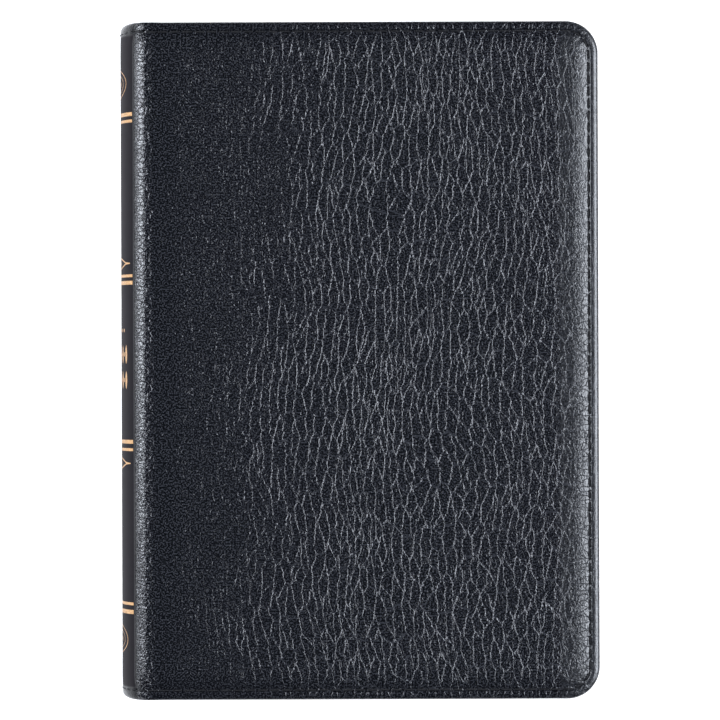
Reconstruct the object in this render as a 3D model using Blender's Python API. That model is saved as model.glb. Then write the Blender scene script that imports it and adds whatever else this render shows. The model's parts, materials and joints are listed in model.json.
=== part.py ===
"""A closed, soft-covered bible lying on its back cover.

Metres, +Z up. The origin is at the centre of the underside. The spine is at -X, the fore-edge at +X,
the head at +Y and the tail at -Y. The book is built as it is bound: sewn sections of paper, a cloth
mull over their backs, headbands, and a leather cover with stiffeners, linings and stitched edges.
"""

import math

import bmesh
import bpy
from mathutils import Vector

MM = 0.001

# Driving dimensions
HEIGHT = 216 * MM  # head to tail
WIDTH = 153 * MM  # spine to fore-edge
THICKNESS = 33 * MM  # back cover to front cover

LEATHER = 1.1 * MM
BOARD = 1.0 * MM
LINING = 0.4 * MM
LAYER_GAP = 0.1 * MM  # between layers that are glued flat to each other
TURN_IN = 6.0 * MM  # width of the folded leather rim
CORNER = 10.4 * MM  # radius of the cover's two fore-edge corners
EDGE_ROUND = 0.8 * MM
LINING_INSET = 1.8 * MM

SPINE_DEPTH = 8.5 * MM  # how far the spine bulges out of the covers' planes
SPINE_CAP = 4.0 * MM  # rounding of the spine at head and tail
JOINT_FROM_SPINE = 11.5 * MM  # from the outermost point of the spine to the cover's fold
FOLD_GAP = 0.3 * MM

STITCH_INSET = 3.2 * MM
THREAD_RADIUS = 0.3 * MM
CHANNEL_RADIUS = 0.55 * MM
THREAD_DEPTH = 0.35 * MM  # thread centre below the leather's face

SECTIONS = 24
MID_GAP = 1.2 * MM  # room for the loose leaves where the block opens
FLYLEAF = 0.2 * MM
LEAF = 0.1 * MM
LEAF_PITCH = 0.3 * MM
BLOCK_FROM_EDGE = 3.2 * MM  # overhang of the cover past the paper at the fore-edge
BLOCK_FROM_HEAD = 3.5 * MM
BACK_ROUND = 21.9 * MM  # radius of the block's rounded back
PAPER_FROM_SPINE = 1.85 * MM
MULL = 0.25 * MM
MULL_FROM_PAPER = 0.4 * MM
MULL_FROM_HEAD = 10 * MM
BAND_RADIUS = 0.8 * MM

CORNER_STEPS = 7
SPINE_STEPS = 16

# Worked-out places
FORE_EDGE = WIDTH / 2
SPINE_EDGE = -WIDTH / 2
MIDDLE = THICKNESS / 2
FOLD_X = SPINE_EDGE + JOINT_FROM_SPINE
COVER = LEATHER + BOARD + LINING + 3 * LAYER_GAP
RIM = LEATHER + BOARD + 2 * LAYER_GAP
PAPER_BACK = SPINE_EDGE + PAPER_FROM_SPINE
HALF_BLOCK = HEIGHT / 2 - BLOCK_FROM_HEAD
FLYLEAF_TOP = MIDDLE - COVER - 2 * LAYER_GAP
SECTION_PITCH = (FLYLEAF_TOP - FLYLEAF - LAYER_GAP - MID_GAP / 2) / (SECTIONS / 2)


def clear_scene():
    for obj in list(bpy.data.objects):
        bpy.data.objects.remove(obj, do_unlink=True)


def material(name, colour, roughness):
    made = bpy.data.materials.new(name)
    made.use_nodes = True
    surface = made.node_tree.nodes["Principled BSDF"]
    surface.inputs["Base Color"].default_value = (*colour, 1)
    surface.inputs["Roughness"].default_value = roughness
    surface.inputs["Metallic"].default_value = 0
    return made


def body_empty(name, location):
    """An empty on a joint's axis, which carries everything that the joint moves."""
    empty = bpy.data.objects.new(name, None)
    bpy.context.scene.collection.objects.link(empty)
    empty.location = location
    return empty


def finish_object(name, mesh, surface, parent=None):
    obj = bpy.data.objects.new(name, mesh)
    bpy.context.scene.collection.objects.link(obj)
    if surface:
        mesh.materials.append(surface)
    if parent:
        obj.parent = parent
        obj.matrix_parent_inverse.translation = -Vector(parent_place(parent))
    return obj


def parent_place(empty):
    """World place of an empty whose parents are also plain, unturned empties."""
    place = Vector(empty.location)
    above = empty.parent
    while above:
        place += Vector(above.location)
        above = above.parent
    return place


def loft(name, rings, closed_ends=True):
    """A mesh through rings of equal point counts, capped at both ends."""
    mesh = bpy.data.meshes.new(name)
    shape = bmesh.new()
    loops = [[shape.verts.new(point) for point in ring] for ring in rings]
    count = len(loops[0])
    for low, high in zip(loops, loops[1:]):
        for i in range(count):
            j = (i + 1) % count
            shape.faces.new((low[i], low[j], high[j], high[i]))
    if closed_ends:
        shape.faces.new(loops[0][::-1])
        shape.faces.new(loops[-1])
    bmesh.ops.recalc_face_normals(shape, faces=shape.faces)
    if shape.calc_volume(signed=True) < 0:
        bmesh.ops.reverse_faces(shape, faces=shape.faces)
    shape.to_mesh(mesh)
    shape.free()
    return mesh


def outline(spine_x, fore_x, half, radius):
    """Corner points of a sheet: square at the spine side, rounded at the fore-edge. Counterclockwise."""
    points = [(spine_x, -half)]
    for side, start in ((-1, -90), (1, 0)):
        for step in range(CORNER_STEPS + 1):
            turn = math.radians(start + 90 * step / CORNER_STEPS)
            x = fore_x - radius + radius * math.cos(turn)
            y = side * (half - radius) + radius * math.sin(turn)
            points.append((x, y))
    points.append((spine_x, half))
    return points


def cover_outline(inset, spine_x=FOLD_X + FOLD_GAP / 2):
    return outline(spine_x, FORE_EDGE - inset, HEIGHT / 2 - inset, CORNER - inset)


def slab(name, points, low, high):
    return loft(name, [[(x, y, z) for x, y in points] for z in (low, high)])


def tube(name, path, radius, sides=8):
    """A round bar through a path of points, with flat ends square to it."""
    rings = []
    side = None
    for i, point in enumerate(path):
        before = path[max(i - 1, 0)]
        after = path[min(i + 1, len(path) - 1)]
        along = (after - before).normalized()
        if side is None:
            side = along.orthogonal().normalized()
        side = (side - along * side.dot(along)).normalized()
        up = along.cross(side)
        turns = [2 * math.pi * k / sides for k in range(sides)]
        rings.append([point + radius * (math.cos(t) * side + math.sin(t) * up) for t in turns])
    return loft(name, rings)


def cut(obj, mesh, label):
    cutter = finish_object(f"cutter_{label}", mesh, None)
    cutter.hide_render = True
    cutter.display_type = "WIRE"
    boolean = obj.modifiers.new(label, "BOOLEAN")
    boolean.operation = "DIFFERENCE"
    boolean.object = cutter


# Every cover piece is described by its depth below the cover's outer face, for either cover.


def height_at(depth, side):
    """Height of a level at a depth below the front face (side 1) or above the back face (side -1)."""
    return MIDDLE + side * (MIDDLE - depth)


def stitch_path(side, spine_x):
    points = cover_outline(STITCH_INSET, spine_x)
    z = height_at(THREAD_DEPTH, side)
    return [Vector((x, y, z)) for x, y in points]


def cover_leather(name, side, surface, parent):
    """The outer leather of one cover, with its folded rim left thick round a pocket for the board."""
    levels = ((EDGE_ROUND, 0), (EDGE_ROUND / 4, EDGE_ROUND / 4), (0, EDGE_ROUND))
    levels += ((0, RIM - EDGE_ROUND / 2), (EDGE_ROUND / 2, RIM))
    rings = [
        [(x, y, height_at(depth, side)) for x, y in cover_outline(inset)]
        for inset, depth in levels
    ]
    obj = finish_object(name, loft(name, rings), surface, parent)
    pocket = cover_outline(TURN_IN, FOLD_X - TURN_IN)
    low, high = sorted((height_at(LEATHER, side), height_at(RIM + LEATHER, side)))
    cut(obj, slab(name, pocket, low, high), f"{name}_pocket")
    channel = stitch_path(side, FOLD_X - TURN_IN)
    cut(obj, tube(name, channel, CHANNEL_RADIUS), f"{name}_channel")
    return obj


def cover_sheet(name, side, inset, spine_x, near, far, surface, parent):
    """A flat layer of a cover, between two depths below its outer face."""
    low, high = sorted((height_at(near, side), height_at(far, side)))
    return finish_object(name, slab(name, cover_outline(inset, spine_x), low, high), surface, parent)


def cover(name, side, parent, leather, card, cloth, thread):
    board_near = LEATHER + LAYER_GAP
    lining_near = RIM + LAYER_GAP
    cover_leather(f"{name}_leather", side, leather, parent)
    cover_sheet(
        f"{name}_board", side, TURN_IN + FOLD_GAP, FOLD_X + 2 * MM,
        board_near, board_near + BOARD, card, parent,
    )
    cover_sheet(
        f"{name}_lining", side, LINING_INSET, FOLD_X + FOLD_GAP / 2,
        lining_near, lining_near + LINING, cloth, parent,
    )
    bead = tube(name, stitch_path(side, FOLD_X + FOLD_GAP / 2), THREAD_RADIUS, sides=6)
    finish_object(f"{name}_stitching", bead, thread, parent)


def cap_shrink(y):
    """How far the spine's limb has rounded in at a place along its length."""
    into = max(0, abs(y) - (HEIGHT / 2 - SPINE_CAP))
    return SPINE_CAP - math.sqrt(max(0, SPINE_CAP**2 - into**2))


def spine_point(turn, depth, y):
    """A point of the spine's section, from turn -90 (back cover) to 90 degrees (front cover)."""
    deep = SPINE_DEPTH - depth - min(cap_shrink(y), SPINE_CAP - LEATHER) * math.cos(turn)
    x = SPINE_EDGE + SPINE_DEPTH - deep * math.cos(turn)
    return Vector((x, y, MIDDLE + (MIDDLE - depth) * math.sin(turn)))


def spine_curve(depth, y, reach):
    """The spine's section as a line from the back cover's fold to the front cover's."""
    turns = [math.radians(-90 + 180 * k / SPINE_STEPS) for k in range(SPINE_STEPS + 1)]
    bow = [spine_point(turn, depth, y) for turn in turns]
    first = Vector((reach, y, bow[0].z))
    last = Vector((reach, y, bow[-1].z))
    return [first, *bow, last]


def spine_leather(surface):
    reach = FOLD_X - FOLD_GAP / 2
    ends = [HEIGHT / 2 - SPINE_CAP * (1 - math.sin(math.radians(a))) for a in (0, 25, 45, 65)]
    ends.append(HEIGHT / 2)
    places = [-y for y in reversed(ends)] + ends
    rings = []
    for y in places:
        outer = spine_curve(0, y, reach)
        inner = spine_curve(LEATHER, y, reach)
        rings.append(outer + inner[::-1])
    obj = finish_object("spine_leather", loft("spine_leather", rings), surface)
    for end, label in ((1, "head"), (-1, "tail")):
        y = end * (HEIGHT / 2 - STITCH_INSET)
        channel = tube(label, spine_curve(THREAD_DEPTH, y, FOLD_X + TURN_IN), CHANNEL_RADIUS)
        cut(obj, channel, f"spine_{label}_channel")
    return obj


def spine_stitching(name, end, surface):
    y = end * (HEIGHT / 2 - STITCH_INSET)
    path = spine_curve(THREAD_DEPTH, y, FOLD_X - FOLD_GAP / 2)
    return finish_object(name, tube(name, path, THREAD_RADIUS, sides=6), surface)


def back_of_paper(from_middle):
    """The block's rounded back: the paper's spine edge at a height above or below its middle."""
    return PAPER_BACK + BACK_ROUND - math.sqrt(BACK_ROUND**2 - from_middle**2)


def mull(surface):
    """The cloth glued over the backs of the sections."""
    top = MID_GAP / 2 + SECTION_PITCH * SECTIONS / 2
    heights = [top * (2 * k / SPINE_STEPS - 1) for k in range(SPINE_STEPS + 1)]
    inner = [(back_of_paper(h) - MULL_FROM_PAPER, MIDDLE + h) for h in heights]
    outer = [(x - MULL, z) for x, z in inner]
    section = outer + inner[::-1]
    half = HALF_BLOCK - MULL_FROM_HEAD
    rings = [[(x, y, z) for x, z in section] for y in (-half, half)]
    return finish_object("spine_mull", loft("spine_mull", rings), surface)


def band(name, end, surface):
    """A headband: a sewn roll that sits on the paper's edge, along the rounded back."""
    reach = SECTION_PITCH * SECTIONS / 2
    heights = [reach * (2 * k / SPINE_STEPS - 1) for k in range(SPINE_STEPS + 1)]
    y = end * (HALF_BLOCK + 2 * LAYER_GAP + BAND_RADIUS)
    inward = BAND_RADIUS + 0.6 * MM
    path = [Vector((back_of_paper(h) + inward, y, MIDDLE + h)) for h in heights]
    return finish_object(name, tube(name, path, BAND_RADIUS), surface)


def section_width():
    outermost = MID_GAP / 2 + SECTION_PITCH * (SECTIONS / 2 - 0.5)
    return FORE_EDGE - BLOCK_FROM_EDGE - back_of_paper(outermost)


def sheet_outline(from_middle, back_gap=0.0):
    back = back_of_paper(from_middle)
    radius = CORNER - BLOCK_FROM_EDGE
    return outline(back + back_gap, back + section_width(), HALF_BLOCK, radius)


def section(name, number, surface, parent):
    """One sewn section: folded sheets, with the round fold at the spine."""
    step = number - (SECTIONS - 1) / 2
    from_middle = -math.copysign(MID_GAP / 2 + abs(step) * SECTION_PITCH, step)
    half = (SECTION_PITCH - LAYER_GAP) / 2
    centre = MIDDLE + from_middle
    mesh = slab(name, sheet_outline(from_middle), centre - half, centre + half)
    shape = bmesh.new()
    shape.from_mesh(mesh)
    back = min(v.co.x for v in shape.verts) + MM / 100
    folds = [
        e for e in shape.edges
        if all(v.co.x < back for v in e.verts) and abs(e.verts[0].co.z - e.verts[1].co.z) < MM / 100
    ]
    bmesh.ops.bevel(shape, geom=folds, offset=0.8 * half, segments=2, profile=0.5, affect="EDGES")
    shape.to_mesh(mesh)
    shape.free()
    return finish_object(name, mesh, surface, parent)


def flyleaf(name, side, surface, parent):
    low, high = sorted((MIDDLE + side * (FLYLEAF_TOP - FLYLEAF), MIDDLE + side * FLYLEAF_TOP))
    mesh = slab(name, sheet_outline(FLYLEAF_TOP - FLYLEAF), low, high)
    return finish_object(name, mesh, surface, parent)


def leaf(name, level, surface, parent):
    """One loose leaf in the gap where the block opens, with its spine edge beside the joint's axis."""
    centre = MIDDLE + level * LEAF_PITCH
    mesh = slab(name, sheet_outline(0, back_gap=0.5 * MM), centre - LEAF / 2, centre + LEAF / 2)
    return finish_object(name, mesh, surface, parent)


def build():
    clear_scene()
    leather = material("black_leather", (0.020, 0.021, 0.024), 0.45)
    card = material("grey_card", (0.32, 0.30, 0.27), 0.9)
    lining = material("black_lining", (0.03, 0.03, 0.033), 0.6)
    cloth = material("white_mull", (0.75, 0.73, 0.66), 0.95)
    thread = material("black_thread", (0.012, 0.012, 0.014), 0.5)
    silk = material("headband_silk", (0.45, 0.06, 0.06), 0.6)
    paper = material("bible_paper", (0.86, 0.83, 0.74), 0.85)
    end_paper = material("end_paper", (0.80, 0.78, 0.72), 0.8)

    axis = (PAPER_BACK, 0, MIDDLE)
    front_half = body_empty("front_half", axis)
    front_fold = body_empty("front_fold", Vector((FOLD_X, 0, THICKNESS + 1.8 * MM)) - Vector(axis))
    front_fold.parent = front_half
    back_fold = body_empty("back_fold", (FOLD_X, 0, -0.2 * MM))

    cover("front_cover", 1, front_fold, leather, card, lining, thread)
    cover("back_cover", -1, back_fold, leather, card, lining, thread)
    spine_leather(leather)
    spine_stitching("spine_head_stitching", 1, thread)
    spine_stitching("spine_tail_stitching", -1, thread)
    mull(cloth)
    band("head_band", 1, silk)
    band("tail_band", -1, silk)
    flyleaf("front_flyleaf", 1, end_paper, front_half)
    flyleaf("rear_flyleaf", -1, end_paper, None)
    for number in range(SECTIONS):
        in_front = number < SECTIONS // 2
        section(f"section_{number + 1:02d}", number, paper, front_half if in_front else None)
    for number, level in ((1, -1), (2, 0), (3, 1)):
        leaf(f"leaf_{number}", level, paper, body_empty(f"leaf_{number}_turn", axis))


build()
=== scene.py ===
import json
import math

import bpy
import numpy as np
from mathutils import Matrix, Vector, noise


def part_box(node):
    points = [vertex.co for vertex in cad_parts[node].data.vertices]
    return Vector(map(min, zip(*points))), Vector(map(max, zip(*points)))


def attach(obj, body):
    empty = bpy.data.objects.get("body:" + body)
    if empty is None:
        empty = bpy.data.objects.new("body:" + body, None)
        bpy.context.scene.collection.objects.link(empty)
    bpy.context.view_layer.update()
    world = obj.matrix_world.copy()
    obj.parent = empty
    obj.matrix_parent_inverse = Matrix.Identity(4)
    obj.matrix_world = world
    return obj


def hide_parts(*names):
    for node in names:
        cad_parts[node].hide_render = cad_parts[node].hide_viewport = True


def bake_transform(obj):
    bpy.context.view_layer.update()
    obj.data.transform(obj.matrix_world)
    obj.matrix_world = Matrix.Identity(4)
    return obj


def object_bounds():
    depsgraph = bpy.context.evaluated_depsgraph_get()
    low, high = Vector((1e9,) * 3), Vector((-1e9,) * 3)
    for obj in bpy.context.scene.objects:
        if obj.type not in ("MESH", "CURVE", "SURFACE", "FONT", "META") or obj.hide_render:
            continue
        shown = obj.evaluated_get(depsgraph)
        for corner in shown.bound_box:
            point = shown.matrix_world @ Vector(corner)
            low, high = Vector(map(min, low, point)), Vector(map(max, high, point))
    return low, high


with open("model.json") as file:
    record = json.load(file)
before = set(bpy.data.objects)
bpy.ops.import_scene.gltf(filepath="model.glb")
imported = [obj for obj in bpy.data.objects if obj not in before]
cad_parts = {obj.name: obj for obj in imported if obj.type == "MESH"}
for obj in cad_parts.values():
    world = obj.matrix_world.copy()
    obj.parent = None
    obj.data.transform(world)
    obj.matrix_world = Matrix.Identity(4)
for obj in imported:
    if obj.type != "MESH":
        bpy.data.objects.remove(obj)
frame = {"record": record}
cad_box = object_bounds()

# A closed bible in black pebble-grained leather, seen from straight above its front cover. The CAD
# solids set every place; here each visible one is replaced by a finely made piece. Lengths are in
# metres, apart from the "hide" coordinates that the leather's grain is laid out on, which are in
# millimetres over the unrolled skin, so that the grain runs on from cover to spine to cover.

MM = 0.001

REAR, FRONT = "page_block_rear", "page_block_front"
JOINTS = {joint["name"]: Vector(joint["pos_m"]) for joint in frame["record"]["behaviour"]["joints"]
          if "pos_m" in joint}

# Sizes, from the frame
LOW, HIGH = (Vector(corner) for corner in cad_box)
THICK = HIGH.z
MID = THICK / 2
HALF = HIGH.y
FORE = HIGH.x
LIMB = LOW.x
FOLD = JOINTS["front_cover_hinge"].x
PAPER_BACK = JOINTS["text_opening"].x
LINING_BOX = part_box("front_cover_lining")
LINING_NEAR = THICK - LINING_BOX[1].z
LINING_FAR = THICK - LINING_BOX[0].z
LINING_INSET = FORE - LINING_BOX[1].x
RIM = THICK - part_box("front_cover_leather")[0].z
TURN_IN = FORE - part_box("front_cover_board")[1].x - 0.3 * MM
BLOCK_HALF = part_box("front_flyleaf")[1].y
SECTIONS = 24
PAPER_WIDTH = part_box("section_12")[1].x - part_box("section_12")[0].x
BACK_ROUND = 21.9 * MM  # radius of the pages' rounded back

# The leather
LEATHER = 1.1 * MM
SKIN_LEAST = 0.35 * MM  # the least skin left under a groove
SPINE_RIM = 1.5 * MM  # thickness of the folded skin at the spine's head and tail
CORNER = 10.4 * MM  # radius of the two fore-edge corners
SPINE_DEEP = 9.6 * MM  # how far the spine's round reaches
SPINE_CALM = 0.9  # share of the rim's shaping lost at the middle of the spine
CAP_HEAD, CAP_TAIL = 2.0 * MM, 1.7 * MM  # radii of the spine's round at head and tail
SEAM = LIMB + 8.2 * MM  # where the covers' skins meet the spine's
GRID = 0.9 * MM  # spacing of the cover's points
BEAD = 2.3 * MM  # the rounded edge is this broad on the face
BEAD_UNDER = 1.2 * MM  # and this broad underneath
BEAD_DROP = 0.40 * MM
BEAD_UPPER = 0.55  # share of the edge's height that is above its outermost line
BEAD_STEPS = 10
CREASE = 3.1 * MM  # the stitched crease, in from the edge
CREASE_DROP = 0.95 * MM
PILLOW_FROM, PILLOW = 3.5 * MM, 5.3 * MM  # the padding rises here, and over this distance
JOINT_DROP, JOINT_WIDE = 0.14 * MM, 2.4 * MM  # the shallow hollow along the fold
JOINT_AT = LIMB + 12.2 * MM
HOLE_DROP, HOLE_WIDE = 0.32 * MM, 0.5 * MM
PUFF, PUFF_WIDE = 0.05 * MM, 1.5 * MM  # the skin's swelling beside each stitch
BACK_SHIFT = 300  # millimetres to the part of the grain that the back cover has

STITCH = 3.89 * MM  # from one needle hole to the next
STITCH_LONG = 3.0 * MM
STITCH_SIDES = 6
THREAD = 0.33 * MM
THREAD_INSIDE = 0.6  # share of that thickness on the lining
HOLE_DEEP, STITCH_RISE = 0.22 * MM, 0.33 * MM  # how deep a stitch's ends lie, and its middle's rise
SPINE_HOLE_DEEP, SPINE_RISE = 0.38 * MM, 0.3 * MM
INNER_HOLE_DEEP, INNER_RISE = 0.25 * MM, 0.2 * MM


# --- Small helpers ---


def smooth(value, low, high):
    t = np.clip((value - low) / (high - low), 0, 1)
    return t * t * (3 - 2 * t)


def put_in_scene(name, data):
    obj = bpy.data.objects.new(name, data)
    bpy.context.scene.collection.objects.link(obj)
    return obj


def add_object(name, points, faces, material=None, shade=True):
    mesh = bpy.data.meshes.new(name)
    mesh.from_pydata([tuple(p) for p in np.asarray(points, float)], [], faces)
    mesh.validate()
    if shade:
        mesh.polygons.foreach_set("use_smooth", [True] * len(mesh.polygons))
    obj = put_in_scene(name, mesh)
    for each in material if isinstance(material, (list, tuple)) else [material]:
        if each:
            mesh.materials.append(each)
    return obj


def lay_out(obj, values):
    """Keeps each point's place on the unrolled skin, in millimetres, for the materials to read."""
    attribute = obj.data.attributes.new("hide", "FLOAT_VECTOR", "POINT")
    attribute.data.foreach_set("vector", np.asarray(values, np.float32).ravel())


def lay_out_shell(obj, u, v, third=0):
    """Both faces of a shell have the same places on the skin."""
    where = np.stack([u, v, third + np.zeros_like(u)], -1).reshape(-1, 3)
    lay_out(obj, np.concatenate([where, where]))


def grid_faces(rows, columns, first=0, flip=False):
    index = np.arange(rows * columns).reshape(rows, columns) + first
    faces = np.stack([index[:-1, :-1], index[:-1, 1:], index[1:, 1:], index[1:, :-1]], -1)
    faces = faces.reshape(-1, 4)
    return (faces[:, ::-1] if flip else faces).tolist()


def shell(name, top, under, materials):
    """A closed sheet between two grids of points (rows, columns, xyz), joined round their edges. A
    second material, if there is one, is for the edges."""
    rows, columns = top.shape[:2]
    count = rows * columns
    faces = grid_faces(rows, columns) + grid_faces(rows, columns, count, flip=True)
    index = np.arange(count).reshape(rows, columns)
    edge = np.concatenate([index[0, :-1], index[:-1, -1], index[-1, :0:-1], index[:0:-1, 0]])
    faces += [[a, a + count, b + count, b] for a, b in zip(edge.tolist(), np.roll(edge, -1).tolist())]
    points = np.concatenate([top.reshape(-1, 3), under.reshape(-1, 3)])
    obj = add_object(name, points, faces, materials)
    side = 2 * (rows - 1) * (columns - 1)
    on_edge = [i >= side for i in range(len(obj.data.polygons))]
    obj.data.polygons.foreach_set("use_smooth", [not edge for edge in on_edge])
    if isinstance(materials, list):
        obj.data.polygons.foreach_set("material_index", [int(edge) for edge in on_edge])
    return obj


def rounded(p, q, radial=np.positive):
    """Bends a square grid's corner into a round one. p and q run outwards from the corner's centre, and
    radial turns that measure into a distance. Returns x, y, the outward measure and the turn round the
    corner at each point."""
    corner = (p > 0) & (q > 0)
    far = np.maximum(np.maximum(p, q), 1e-9)
    near = np.where(corner, np.minimum(p, q), 0)
    turn = math.pi / 4 * near / far
    turn = np.where(p >= q, turn, math.pi / 2 - turn)
    x = np.where(corner, radial(far) * np.cos(turn), np.where(p > 0, radial(p), p))
    y = np.where(corner, radial(far) * np.sin(turn), np.where(q > 0, radial(q), q))
    return x, y, np.maximum(p, q), np.where(corner, turn, 0)


def even(start, end, step):
    """Evenly spaced places from start to end, about a step apart."""
    return np.linspace(start, end, max(2, int(round(abs(end - start) / step)) + 1))


def whole_height(columns, upper):
    """A grid from its columns and its rows above the middle, which the lower half repeats: the outward
    places p and q, and a sign that is -1 in the lower half."""
    p, q = np.meshgrid(columns, np.concatenate([upper[::-1], upper[1:]]))
    sign = np.concatenate([-np.ones(len(upper)), np.ones(len(upper) - 1)])
    return p, q, np.broadcast_to(sign[:, None], p.shape)


# Distances from the seam of the grid's lines beside it, closest where the curve is strongest
NEAR_SEAM = MM * np.array([0, 0.15, 0.35, 0.6, 0.9, 1.25, 1.65, 2.1, 2.6, 3.1, 3.6, 4.1, 4.6,
                           5.1, 5.6, 6.1, 6.7])


# --- The leather's shape ---


def edge_drop(inset):
    """How far the face lies below the cover's highest level, from its rounded edge inwards."""
    land = BEAD_DROP + (CREASE_DROP - BEAD_DROP) * smooth(inset, BEAD + 0.1 * MM, BEAD + 0.55 * MM)
    pillow = CREASE_DROP * np.clip(1 - (inset - PILLOW_FROM) / PILLOW, 0, 1) ** 2
    return np.where(inset < PILLOW_FROM, land, pillow)


def round_drop(x):
    """The covers round over towards the spine, on the same curve as the spine's."""
    share = np.clip((LIMB + SPINE_DEEP - x) / SPINE_DEEP, 0, 1)
    return MID * (1 - np.sqrt(1 - share**2))


def rim_thickness(x):
    """The folded rim is thick on the covers and thins to a single fold of skin towards the spine."""
    return SPINE_RIM + (RIM - SPINE_RIM) * smooth(x, SEAM + 1 * MM, FOLD + 5 * MM)


def hole_press(along, inset):
    """The leather is drawn down at each needle hole and stands up a little under each stitch."""
    off = (along / STITCH) % 1 - 0.5
    hole = np.exp(-(off * STITCH / HOLE_WIDE) ** 2)
    puff = np.cos(2 * math.pi * off)
    near = np.exp(-((inset - CREASE) / (0.6 * MM)) ** 2)
    wide = np.exp(-((inset - CREASE - PUFF_WIDE) / PUFF_WIDE) ** 2)
    return near * hole * HOLE_DROP + wide * PUFF * puff


def grain(u, v):
    """Height of the leather's larger pebbles and waves at places on the skin, in metres."""
    out = np.zeros(u.size)
    for i, (a, b) in enumerate(zip(u.ravel().tolist(), v.ravel().tolist())):
        lean = noise.noise(Vector((a * 0.02, b * 0.02, 0))) * 9
        spot = Vector(((a + lean) / 3.1, b / 5.2, 3))
        near = noise.voronoi(spot)[0]
        pebble = min(1.0, (near[1] - near[0]) * 2.4)
        wave = noise.noise(Vector((a * 0.045, b * 0.03, 7)))
        out[i] = 0.012 * pebble + 0.10 * wave - 0.05
    return out.reshape(u.shape) * MM


# How far in from the edge, in millimetres, the grid's lines lie, closest across the stitched crease
EDGE_INSETS = (8.8, 7.8, 7.0, 6.3, 5.7, 5.15, 4.65, 4.2, 3.85, 3.6, 3.45, 3.25, 3.05, 2.85, 2.7,
               2.55, 2.4, 2.3)
EDGE_BAND = EDGE_INSETS[0] * MM


def edge_lines():
    """Outward places of the grid's lines near an edge, then on round it to the underside."""
    on_face = [CORNER - inset * MM for inset in EDGE_INSETS]
    round_edge = [CORNER - BEAD + BEAD * (k + 1) / BEAD_STEPS for k in range(BEAD_STEPS)]
    return np.array(on_face + round_edge)


def bead_turn(out):
    """How far round the edge a line is: 0 on the face, pi on the underside."""
    return np.clip((out - (CORNER - BEAD)) / BEAD, 0, 1) * math.pi


def radial_top(out):
    turn = bead_turn(out)
    upper = CORNER - BEAD + BEAD * np.sin(turn)
    lower = CORNER - BEAD_UNDER + BEAD_UNDER * np.sin(turn)
    return np.where(turn <= 0, out, np.where(turn <= math.pi / 2, upper, lower))


def radial_under(out):
    """The underside's lines are drawn inwards, so that they all lie inside the rounded edge."""
    inset = np.maximum(CORNER - out, BEAD)
    tucked = inset + 0.9 * MM * np.exp(-(inset - BEAD) / (2 * MM))
    return CORNER - tucked + (bead_turn(out) / math.pi) * 1.9 * MM


def face_drop(inset, turn, thick, along):
    """How far the skin's outside lies below its highest level, on the face and round the edge."""
    flat = edge_drop(inset) + hole_press(along, inset)
    tall = thick - BEAD_DROP
    upper = BEAD_DROP + BEAD_UPPER * tall * (1 - np.cos(turn))
    lower = BEAD_DROP + BEAD_UPPER * tall - (1 - BEAD_UPPER) * tall * np.cos(turn)
    return np.where(turn <= 0, flat, np.where(turn <= math.pi / 2, upper, lower))


def along_edge(x, y, angle, out_x, out_y):
    """Length along the stitch line from the middle of the fore-edge."""
    radius = CORNER - CREASE
    straight = HALF - CORNER
    corner = (out_x > 0) & (out_y > 0)
    on_head = (out_y > out_x) & ~corner
    over = straight + radius * math.pi / 2 + (FORE - CORNER) - x
    return np.where(corner, straight + radius * angle, np.where(on_head, over, np.abs(y)))


def cover_lines():
    """Places of the columns and of the upper half's rows of the cover's grid."""
    seam = SEAM - (FORE - CORNER)
    columns = even(seam + NEAR_SEAM[-1], CORNER - EDGE_BAND, GRID)[:-1]
    columns = np.concatenate([seam + NEAR_SEAM[:-1], columns, edge_lines()])
    rows = np.concatenate([even(0, HALF - EDGE_BAND, GRID)[:-1] - (HALF - CORNER), edge_lines()])
    return columns, rows


def cover_leather(name, side, body, material):
    p, q, sign = whole_height(*cover_lines())
    centre_x, centre_y = FORE - CORNER, HALF - CORNER

    x, y, out, angle = rounded(p, q, radial_top)
    x, y = x + centre_x, y + centre_y
    inset = CORNER - np.minimum(out, CORNER - BEAD)
    turn = bead_turn(out)
    thick = rim_thickness(x)
    along = along_edge(x, y, angle, p, q)
    drop = face_drop(inset, turn, thick, along)
    drop = drop + JOINT_DROP * np.exp(-((x - JOINT_AT) / JOINT_WIDE) ** 2) * (turn == 0)
    u = (x - SEAM) / MM
    v = y * sign / MM
    pressed = smooth(inset, CREASE + 0.4 * MM, CREASE + 5 * MM) * (turn == 0)
    shift = 0 if side > 0 else BACK_SHIFT
    lift = grain(u + shift, v) * pressed * smooth(u, -0.5, 3)
    drop = np.maximum(drop - lift, 0)
    top = np.stack([x, y * sign, MID + side * (MID - drop - round_drop(x))], -1)

    xu, yu, _, _ = rounded(p, q, radial_under)
    xu, yu = xu + centre_x, yu + centre_y
    inset_u = CORNER - radial_under(out)
    deep = LEATHER + (rim_thickness(xu) - LEATHER) * (1 - smooth(inset_u, TURN_IN - 0.4 * MM, TURN_IN))
    deep = np.maximum(deep, drop + SKIN_LEAST * (turn == 0))
    under = np.stack([xu, yu * sign, MID + side * (MID - deep - round_drop(xu))], -1)
    if side < 0:
        top, under = under, top
    obj = shell(name, top, under, material)
    lay_out_shell(obj, u + shift, v)
    keep_calm(obj, calm_edge(inset, turn) * np.where(p > q, 0.75, 0.3))
    turn_over(obj)
    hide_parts(f"{body}_leather")


def turn_over(obj):
    """Bakes a cover piece's placement into its points, where it stays."""
    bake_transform(obj)


def calm_edge(inset, turn):
    """The grain is stretched nearly flat where the skin is turned round its edge."""
    return np.where(turn > 0, 1, 1 - smooth(inset, BEAD, BEAD + 0.5 * MM))


def keep_calm(obj, share):
    attribute = obj.data.attributes.new("calm", "FLOAT", "POINT")
    attribute.data.foreach_set("value", np.tile(share.ravel(), 2).astype(np.float32))


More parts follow.
